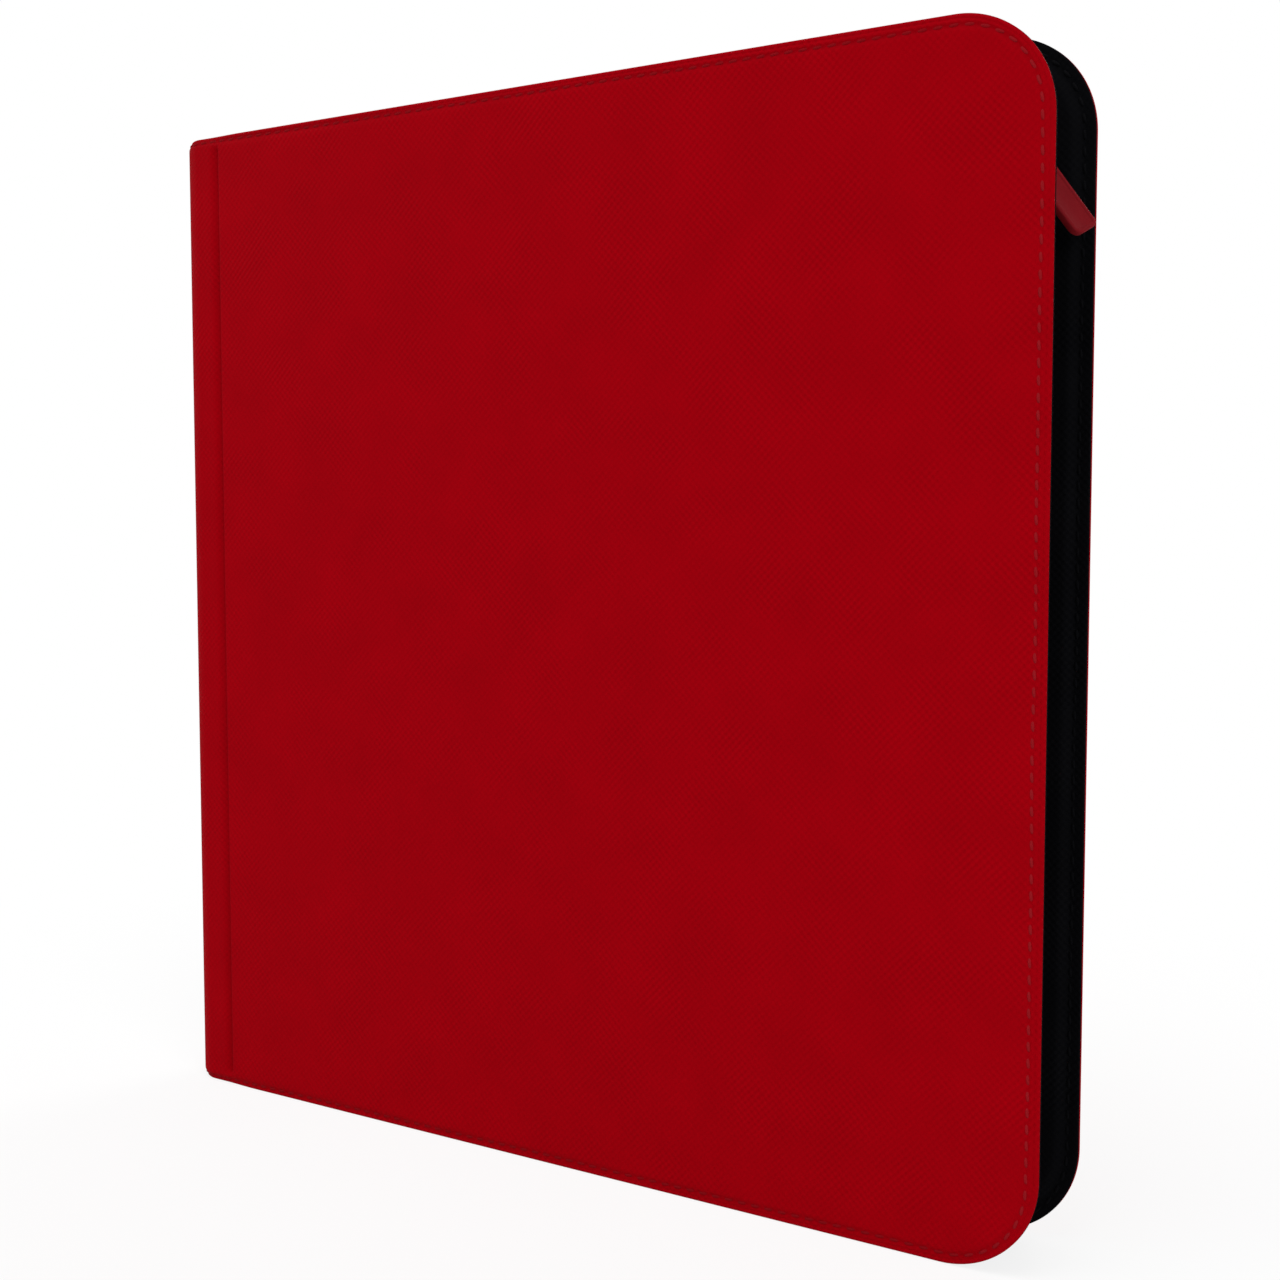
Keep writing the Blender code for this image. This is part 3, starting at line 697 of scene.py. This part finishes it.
for side, body in sides:
    outward = np.tile([0, side, 0], (len(seamFlat), 1))
    level = halfDepth - drawnIn(seamFlat[:, 0], seamInset)
    line = standAt(seamFlat, side * (level - stitch["dip"]))
    sewn = addStitches(body + "_edge_stitches", line, seamCount, outward, redThread, "red_skin")
    foldWith(sewn)
    line = standAt(seamFlat, side * (level - cover["flange"]))
    sewn = addStitches(body + "_inner_stitches", line, seamCount, -outward, blackThread, "black_lining")
    foldWith(sewn)
for end, z in (("upper", height - stitch["insetSpine"]), ("lower", stitch["insetSpine"])):
    depth = stitch["dip"] + drawnIn(spineX, stitch["insetSpine"])
    line, outward = lifted(spineLine(depth), z), lifted(spineNormals, 0.0)
    addStitches(f"spine_{end}_stitches", line, spineCount, outward, redThread, "red_skin", "spine")
print("stitches: done")


# Zip

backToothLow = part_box("back_zip_teeth")[0]
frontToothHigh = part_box("front_zip_teeth")[1]
chain = {
    "inset": 14.5 * mm,  # covers' edge to the middle of the tape
    "centreY": (backToothLow.y + frontToothHigh.y) / 2,
    "start": 0.5 * mm,  # past the crease
    "tape": 0.7 * mm,
    "bend": 1.4 * mm,  # where the tape turns from the lining to the teeth
    "lift": 0.05 * mm,
    "flange": 7.4 * mm,  # turned in along the lining, where it is sewn
    "sewIn": 3.6 * mm,  # from the wall of the tape to its stitches
    "grip": 2.5 * mm,  # the teeth hold the tape's edge, this far from the middle of the chain
    "pitch": 3 * mm,
    "firstTooth": 3.6 * mm,
    "tip": 0.38 * mm,  # from the middle of the chain
    "back": 3.1 * mm,
    "halfThick": 1.15 * mm,
    "halfLong": 0.95 * mm,
    "headShare": 0.78,  # width of a tooth's head against its root
    "rootShare": 1.08,
}
# Path of the zip: the covers' own, from just past the crease
keep = edgeAnchors[:, 0] > creaseX + chain["start"]
chainPath = (edgeAnchors[keep], edgeNormals[keep])
chainLine = insetLine(chainPath, chain["inset"])
chainRun = runLength(chainLine)


# Tape: an L section of inset and distance from the middle plane, carried along the path. It lies on the
# lining, turns through a quarter circle and stands across the gap to the teeth.
def addTape(side, body, prefix):
    tape, bend = chain["tape"], chain["bend"]
    seat = halfDepth - coverThick - chain["lift"]
    top = side * chain["centreY"] + chain["grip"]
    wall = chain["inset"] - tape / 2
    end = chain["inset"] + chain["flange"]
    spoke = spokes(sweep(0, 90, 6)) * [-1, 1]
    centre = np.array([wall + bend, seat - bend])
    section = join([
        [(wall, top)], centre + bend * spoke, [(end, seat), (end, seat - tape)],
        (centre + (bend - tape) * spoke)[::-1], [(wall + tape, top)],
    ])
    flat = insetLine(chainPath, section[:, :1]).swapaxes(0, 1)
    points = standAt(flat, side * section[:, 1])
    laid = stacked(chainRun[:, None], runLength(section), 0.0)
    piece = addPiece(prefix + "_zip_webbing", [points], zipWeave, [laid], ringed=True)
    settle(piece, body, "zip_tape", prefix + "_zip_tape")
    line = standAt(insetLine(chainPath, chain["inset"] + chain["sewIn"]), side * (seat - tape))
    outward = np.tile([0, -side, 0], (len(line), 1))
    addStitches(prefix + "_zip_stitches", line, stitchCount(line), outward, blackThread, "zip_tape", body)


# One tooth: a block with root-rounded corners, sqrt(sin) and sqrt(cos) in place of sin and cos; x along
# the chain, y towards its cover, z through the tape
def toothTemplate():
    rings, sides = 7, 10
    level = sweep(-90, 90, rings)[:, None]
    turn = around(sides)

    def rooted(value):
        return np.sign(value) * np.abs(value) ** 0.5

    ring = rooted(np.cos(level))
    share = (1 + ring * rooted(np.sin(turn))) / 2  # 0 at the head, 1 at the root
    wide = chain["headShare"] + (chain["rootShare"] - chain["headShare"]) * share
    x = chain["halfLong"] * wide * ring * rooted(np.cos(turn))
    y = chain["tip"] + (chain["back"] - chain["tip"]) * share
    z = chain["halfThick"] * rooted(np.sin(level))
    return stacked(x, y, z).reshape(-1, 3), gridFaces(rings, sides, ringed=True)


# A row of teeth, each square to the path; the two rows are half a step apart
def addTeeth(side, body, prefix):
    first = chain["firstTooth"] + (0 if side > 0 else chain["pitch"] / 2)
    at = np.arange(first, chainRun[-1] - chain["firstTooth"], chain["pitch"])
    origins = standAt(readAlong(at, chainRun, chainLine), chain["centreY"])
    outward = standAt(unit(readAlong(at, chainRun, chainPath[1])), 0)
    toCover = np.tile([0, side, 0], (len(at), 1))
    axes = np.stack([np.cross(toCover, outward), toCover, outward], 1)
    piece = addCopies(prefix + "_zip_tooth_row", toothTemplate(), origins, axes, zipPlastic)
    settle(piece, body, "zip_teeth", prefix + "_zip_teeth")


for side, body in sides:
    prefix = body.split("_")[0]
    addTape(side, body, prefix)
    addTeeth(side, body, prefix)
print("zip: done")


# Gussets: cloth across each end of the spine, from its lining to the crease, slack in the middle

gusset = {
    "clear": 0.05 * mm,  # to the lining
    "short": 0.2 * mm,  # of the crease
    "thick": 0.4 * mm,
    "slack": 2 * mm,
    "wave": 0.6,  # of half a turn, from the lining to the crease
}


# Points run straight from the lining to the crease, and drop by a parabola across and a sine along
def addGusset(end, z, slack):
    rim = spineLine(coverThick + gusset["clear"])[pastFlat]
    far = stacked(creaseX - gusset["short"], rim[:, 1])
    t = np.linspace(0, 1, 14)[:, None, None]
    flat = rim * (1 - t) + far * t
    across = 1 - (flat[..., 1] / rim[:, 1].max()) ** 2
    drop = slack * across * np.sin(gusset["wave"] * np.pi * t[..., 0])
    points = lifted(flat, z - drop)
    piece = addPiece("spine_" + end + "_gusset_cloth", [points], zipWeave, [points * [1, 1, 0]],
                     flip=slack > 0, thick=gusset["thick"])
    settle(piece, "spine", "zip_tape", "spine_gusset_" + end)


addGusset("upper", height - chain["inset"], gusset["slack"])
addGusset("lower", chain["inset"], -gusset["slack"])
print("gussets: done")


# Slider, crown, link and tab

sliderLow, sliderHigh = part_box("slider_body")
slider = {
    "half": (sliderHigh.z - sliderLow.z) / 2,
    "shoulder": 5.5 * mm,
    "tail": 4.4 * mm,
    "soft": 1.75 * mm,
    "inner": 1.45 * mm,  # plates' faces, from the tape
    "outer": 2.35 * mm,
    "edge": 0.3 * mm,
    "bite": 0.1 * mm,  # walls and lips run this far into the plates
    "postHalf": 0.3 * mm,
    "postLow": 0.15 * mm,
    "postHigh": 6.45 * mm,
    "lipNear": 3.35 * mm,
    "lipFar": 4.35 * mm,
    "lipHalf": 4.8 * mm,
    "lipReach": 0.85 * mm,
    "crownWire": 0.7 * mm,
    "crownLow": -2.6 * mm,
    "crownHigh": 4 * mm,
    "crownTop": 5.65 * mm,
    "crownBend": 1.4 * mm,
}
pull = {
    "angles": (37.6, -16.7, -24.5),  # degrees: swayed back and leaning out
    "wire": 0.6 * mm,
    "span": 6.8 * mm,
    "leg": 8 * mm,
    "width": 9.9 * mm,
    "thick": 2.4 * mm,
    "near": 3.6 * mm,
    "far": 23.2 * mm,
    "farOuter": 25 * mm,  # the far end is cut aslant, longer on its outer side
    "narrowed": 0.45 * mm,  # and the outer side draws in by this much towards it
    "nearRound": 2 * mm,
    "farRound": 3.6 * mm,
    "farRoundOuter": 1.9 * mm,
    "border": 1 * mm,
    "ramp": 0.5 * mm,  # from the border down to the sunk panel
    "dish": 0.35 * mm,
    "edge": 0.55 * mm,
}


# Anticlockwise corners rounded off: each arc's centre is corner - radius / (1 + cos of its turn) * the
# normals before and after; returns the arcs' centres, normals and radii
def roundedOutline(corners, radii, steps):
    corners = np.array(corners)
    radii = np.broadcast_to(radii, len(corners))
    along = unit(np.roll(corners, -1, axis=0) - corners)
    after = stacked(along[:, 1], -along[:, 0])
    before = np.roll(after, 1, axis=0)
    shared = np.sum(before * after, axis=1)
    centres = corners - (radii / (1 + shared))[:, None] * (before + after)
    start = np.arctan2(before[:, 1], before[:, 0])
    turn = start[:, None] + np.arccos(shared)[:, None] * np.linspace(0, 1, steps)
    normals = spokes(turn).reshape(-1, 2)
    return np.repeat(centres, steps, axis=0), normals, np.repeat(radii, steps)


# Four corners from the half widths at the top and bottom, and their heights
def plateOutline(wideTop, wideLow, top, low, radius, steps=9, middle=0):
    corners = [(middle + wideTop, top), (middle - wideTop, top),
               (middle - wideLow, low), (middle + wideLow, low)]
    return roundedOutline(corners, radius, steps)


# Slab: the outline at each section point's inset, as a ring lifted to its height along local x
def slabRings(outline, insets, heights):
    anchors, normals, radii = outline
    flat = anchors + (radii - insets[:, None])[..., None] * normals
    return stacked(heights[:, None], flat[..., 0], flat[..., 1])


# Round wire along a flat path: ring = point + radius * (cos * side + sin * plane's normal)
def wireRings(path, planeNormal, radius, sides=12):
    across = np.cross(planeNormal, unit(np.gradient(path, axis=0)))
    turn = around(sides)[:, None]
    ring = np.cos(turn) * across[:, None] + np.sin(turn) * np.array(planeNormal)
    return path[:, None] + radius * ring


# Arc in a plane: centre + radius * spoke
def arcPoints(centre, radius, start, end, steps):
    return np.array(centre) + radius * spokes(sweep(start, end, steps))


# Two plates with rounded rims, a thin wall between the rows, and lips behind the back row
def addSlider():
    half, soft, edge, bite = slider["half"], slider["soft"], slider["edge"], slider["bite"]
    low, high = slider["inner"], slider["outer"]
    plate = plateOutline(slider["shoulder"], slider["tail"], half, -half, soft)
    rimIn, rimUp = quarterRound(edge, 5)
    inset = join([rimIn, rimUp])
    lift = join([low + rimUp, high - rimIn])
    flush = np.zeros(2)
    thin = slider["postHalf"]
    post = plateOutline(thin, thin, slider["postHigh"], slider["postLow"], thin, 5)
    lipWide = (slider["lipFar"] - slider["lipNear"]) / 2
    lipMiddle = (slider["lipFar"] + slider["lipNear"]) / 2
    lip = plateOutline(lipWide, lipWide, slider["lipHalf"], -slider["lipHalf"], edge, 5, lipMiddle)
    lipLift = np.array([low - slider["lipReach"], low + bite])
    grids = [slabRings(plate, inset, lift), slabRings(plate, inset, -lift),
             slabRings(post, flush, np.array([-low - bite, low + bite])),
             slabRings(lip, flush, lipLift), slabRings(lip, flush, -lipLift)]
    middle = np.array([foreX - chain["inset"], chain["centreY"], (sliderLow.z + sliderHigh.z) / 2])
    body = addPiece("zip_slider", [grid + middle for grid in grids], gunmetal, ringed=True)
    settle(body, "slider", "gunmetal", "slider_body")

    top, bend, foot = slider["crownTop"], slider["crownBend"], high - edge
    arch = join([[(foot, slider["crownHigh"])],
                 arcPoints((top - bend, slider["crownHigh"] - bend), bend, 90, 0, 8),
                 arcPoints((top - bend, slider["crownLow"] + bend), bend, 0, -90, 8),
                 [(foot, slider["crownLow"])]])
    path = standAt(arch, 0) + middle
    rings = wireRings(path, (0, 1, 0), slider["crownWire"])
    crown = addPiece("slider_bail", [rings], gunmetal, ringed=True)
    settle(crown, "slider", "gunmetal", "slider_crown")


# Wire bow through the crown, and a tab with a sunk panel inside a raised border on both faces
def addPull():
    turned = np.array(Euler([math.radians(angle) for angle in pull["angles"]], "XYZ").to_matrix())
    origin = np.array(pivot)
    side, bend = pull["span"] / 2, 2 * pull["wire"]
    right = arcPoints((side - bend, -bend), bend, 0, 90, 8)
    bow = join([[(side, -pull["leg"])], right, right[::-1] * [-1, 1], [(-side, -pull["leg"])]])
    path = stacked(0.0, bow[:, 0], bow[:, 1])
    rings = wireRings(path, (1, 0, 0), pull["wire"]) @ turned.T + origin
    settle(addPiece("pull_wire", [rings], gunmetal, ringed=True), "pull", "gunmetal", "pull_link")

    half = pull["width"] / 2
    corners = [(half, -pull["near"]), (-half, -pull["near"]), (-half, -pull["far"]),
               (half - pull["narrowed"], -pull["farOuter"])]
    radii = [pull["nearRound"], pull["nearRound"], pull["farRound"], pull["farRoundOuter"]]
    outline = roundedOutline(corners, radii, 12)
    thick = pull["thick"] / 2
    edgeIn, edgeDown = quarterRound(pull["edge"], 6)
    ease = np.linspace(0, 1, 6)
    inset = join([pull["border"] + pull["ramp"] * (1 - ease), edgeIn])
    lift = join([thick - pull["dish"] * (1 - smooth(ease, 0, 1)), thick - edgeDown])
    rings = slabRings(outline, join([inset, inset[::-1]]), join([lift, -lift[::-1]]))
    tab = addPiece("pull_grip", [rings @ turned.T + origin], redRubber, ringed=True)
    settle(tab, "pull", "red_rubber", "pull_tab")


addSlider()
addPull()
print("slider and pull: done")


# Pages and their binding

page = {
    "count": 20,
    "columns": 4,
    "rows": 3,
    "pocketWide": 66.5 * mm,
    "pocketHigh": 94.5 * mm,
    "weld": 2 * mm,
    "mouth": 3 * mm,  # open strip on the pocket's spine side
    "mouthEdge": 0.3 * mm,
    "ease": 1.4 * mm,  # from a weld up to the swollen film
    "sheet": 0.2 * mm,  # half thickness at a weld
    "swell": 0.2 * mm,  # more in the middle of a pocket
    "mouthStep": 0.1 * mm,
    "clear": 0.5 * mm,  # page's edge to its fold line
    "bow": 0.55 * mm,  # soft sheets never lie quite flat
    "bowWide": 190 * mm,
    "bowHigh": 260 * mm,
    "bowStart": 60 * mm,
}
binding = {
    "gap": 0.3 * mm,  # to the spine's lining
    "depth": 8 * mm,
    "soft": 0.8 * mm,  # rounded ends
    "margin": 0.3 * mm,  # half thickness of a page's sewn margin
    "tipGap": 0.15 * mm,  # short of the fold line
    "root": 0.5 * mm,  # a margin starts this far inside the block
}


# Stations across a row of pockets: close together at the welds and, where asked, past the mouths
def stations(start, pocket, number, mouth):
    ease = page["ease"] * np.linspace(0, 1, 4)
    lip = page["mouthEdge"] / 2
    rim = [mouth - lip, mouth + lip] if mouth else []
    film = np.linspace(2 * page["mouth"], pocket - 2 * page["mouth"], 5)
    inside = join([ease, rim, film, pocket - ease[::-1]])
    starts = start + np.arange(number) * (pocket + page["weld"])
    return (starts[:, None] + inside).ravel()


# Over a page, 1 inside each pocket and 0 at its welds; and 1 over the strip at its open mouth
def pocketShares(u, v):
    inU = np.mod(u - 2 * page["weld"], page["pocketWide"] + page["weld"])
    inV = np.mod(v - page["weld"], page["pocketHigh"] + page["weld"])
    rise = page["ease"]
    insideU = smooth(inU, 0, rise) * smooth(page["pocketWide"] - inU, 0, rise)
    insideV = smooth(inV, 0, rise) * smooth(page["pocketHigh"] - inV, 0, rise)
    inside = insideU * insideV * (u > 2 * page["weld"])
    lip = page["mouthEdge"] / 2
    return inside, (1 - smooth(inU, page["mouth"] - lip, page["mouth"] + lip)) * inside


# Pages bow alike by a slow slanting wave, sin(u + v), that starts past the fold, less near the covers
def pageBow(number, u, v):
    half = page["count"] / 2
    share = 1 - ((number - 0.5 - half) / half) ** 2
    wave = np.sin(2 * np.pi * (u / page["bowWide"] + v / page["bowHigh"]))
    return page["bow"] * share * wave * smooth(u, 0, page["bowStart"])


# Two faces half a thickness to both sides of the bowed middle, and four narrow borders that close them
def addPage(number):
    node = f"page_{number:02d}"
    low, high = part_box(node)
    across = stations(2 * page["weld"], page["pocketWide"], page["columns"], page["mouth"])
    upward = stations(page["weld"], page["pocketHigh"], page["rows"], 0)
    u, v = np.meshgrid(join([[0], across, [high.x - low.x]]),
                       join([[0], upward, [high.z - low.z]]))
    inside, mouth = pocketShares(u, v)
    half = page["sheet"] + page["swell"] * inside - page["mouthStep"] * mouth
    middle = (low.y + high.y) / 2 + pageBow(number, u, v)
    front = stacked(low.x + u, middle - half, low.z + v)
    back = stacked(low.x + u, middle + half, low.z + v)
    border = [np.stack([back[0], front[0]]), np.stack([front[-1], back[-1]]),
              np.stack([front[:, 0], back[:, 0]]), np.stack([back[:, -1], front[:, -1]])]
    dull = 1 - inside * (1 - mouth)
    shade = [dull, dull[:, ::-1], *[np.ones(edge.shape[:2]) for edge in border]]
    piece = addPiece(f"pocket_sheet_{number:02d}", [front, back[:, ::-1], *border], pocketFilm,
                     shade=shade, closed=True)
    settle(piece, node, "pocket_page", node)


# Block against the spine's lining, drawn in at both ends, and one round-edged margin for each page
def addBinding():
    low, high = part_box("page_binding")
    margin = binding["margin"]
    seat = coverThick + binding["gap"]
    root = spineX + seat + binding["depth"]
    drawn, lift = quarterRound(binding["soft"], 6)
    rows = join([low.z + lift, high.z - lift[::-1]])
    insets = join([drawn, drawn[::-1]])
    flat = spineLine((seat + insets)[:, None])[:, pastFlat]
    faceY = np.linspace(1, -1, 12) * np.abs(flat[:, :1, 1])
    ring = join([flat, stacked((root - insets)[:, None], faceY)], 1)
    grids = [lifted(ring, rows[:, None])]
    for number in range(1, page["count"] + 1):
        pageLow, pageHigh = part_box(f"page_{number:02d}")
        tip = pageLow.x - page["clear"] - binding["tipGap"]
        start = root - binding["root"]
        nose = arcPoints((tip - margin, 0), margin, -90, 90, 7)
        strip = join([[(start, -margin)], nose, [(start, margin)]])
        strip = strip + [0, (pageLow.y + pageHigh.y) / 2]
        grids.append(lifted(strip, np.array([[low.z], [high.z]])))
    block = addPiece("sewn_page_block", grids, bindingCloth, ringed=True)
    settle(block, "spine", "binding_cloth", "page_binding")


for number in range(1, page["count"] + 1):
    addPage(number)
addBinding()
print("pages: done")


# Solids that show as they are, or lie inside

finishes = {"padding": foamSheet, "board": greyBoard, "stop": gunmetal}
for node, solid in frame["nodes"].items():
    for word, material in finishes.items():
        if word in node:
            solid.data.materials.clear()
            solid.data.materials.append(material)


# Studio

studio = {
    "cameraAt": (foreX + 177.155 * mm, -473.4 * mm, 211.7 * mm),
    "pitch": 85.892,
    "heading": 33.957,
    "lens": 50.59,  # on a 36 mm sensor
    "ambient": 0.42,
    "lamps": {  # place, width and power
        "right": ((4.0, -2.4, 2.2), 2.4, 80.0),
        "left": ((-4.4, -1.3, 2.2), 2.4, 60.0),
        "back": ((0.8, 4.2, 2.2), 2.4, 75.0),
        "top": ((0, -0.85, 2.3), 1.6, 22.0),
    },
    "floor": 6.0,
    # Distance from the middle to the share of plain white; the rest is real floor, with its shadow
    "floorFade": {"From Min": 0.2, "From Max": 0.5, "To Min": 0.82},
}


# Camera or lamp in its place
def stand(name, data, place, turn):
    thing = bpy.data.objects.new(name, data)
    thing.location = place
    thing.rotation_euler = turn
    bpy.context.scene.collection.objects.link(thing)
    return thing


def addCamera():
    data = bpy.data.cameras.new("camera")
    data.lens = studio["lens"]
    data.sensor_width = 36
    data.clip_start = 0.01
    turn = (math.radians(studio["pitch"]), 0, math.radians(studio["heading"]))
    bpy.context.scene.camera = stand("camera", data, studio["cameraAt"], turn)


# Round lamp that points at the middle of the case
def addLamp(name, place, size, power):
    data = bpy.data.lights.new(name, "AREA")
    data.shape = "DISK"
    data.size = size
    data.energy = power
    toCase = Vector((0, 0, midZ)) - Vector(place)
    stand(name, data, place, toCase.to_track_quat("-Z", "Y").to_euler())


# 1 for rays from the camera, off gloss or through something clear
def seenRays(tree):
    seen = addNode(tree, "LightPath", out="Is Camera Ray")
    rays = seen.node.outputs
    for other in ("Is Glossy Ray", "Is Transmission Ray"):
        seen = addNode(tree, "Math", None, {0: seen, 1: rays[other]}, operation="MAXIMUM")
    return seen


# World: soft even light, and plain white where it is looked at
def addWorld():
    world = bpy.data.worlds.new("white_studio")
    world.use_nodes = True
    tree = world.node_tree
    level = addNode(tree, "MapRange", {"To Min": studio["ambient"]}, {"Value": seenRays(tree)})
    setSockets(tree, tree.nodes["Background"], {"Color": (1, 1, 1, 1)}, {"Strength": level})
    bpy.context.scene.world = world


# Floor: pale matte paper, plain white away from the object and with a faint shadow beside it
def addFloor():
    material, tree = newMaterial("matte_white_paper")
    paper = tree.nodes["Principled BSDF"]
    values = {"Base Color": linear("#f7f7f7"), "Roughness": 0.9, "Specular IOR Level": 0.0}
    setSockets(tree, paper, values)
    place = addNode(tree, "TexCoord", out="Object")
    far = addNode(tree, "VectorMath", None, {0: place}, "Value", operation="LENGTH")
    away = addNode(tree, "MapRange", studio["floorFade"], {"Value": far}, interpolation_type="SMOOTHSTEP")
    shown = addNode(tree, "Math", None, {0: away, 1: seenRays(tree)}, operation="MULTIPLY")
    white = addNode(tree, "Emission", {"Color": (1, 1, 1, 1), "Strength": 1.0})
    mixed = addNode(tree, "MixShader", None, {0: shown, 1: paper.outputs[0], 2: white})
    setSockets(tree, tree.nodes["Material Output"], None, {"Surface": mixed})
    half = studio["floor"] / 2
    corners = np.array([[(-half, -half, 0), (half, -half, 0)], [(-half, half, 0), (half, half, 0)]])
    addPiece("floor", [corners], material)


addCamera()
addWorld()
addFloor()
for name, (place, size, power) in studio["lamps"].items():
    addLamp(name, place, size, power)
bpy.context.scene.view_settings.view_transform = "Standard"
print("studio: done")
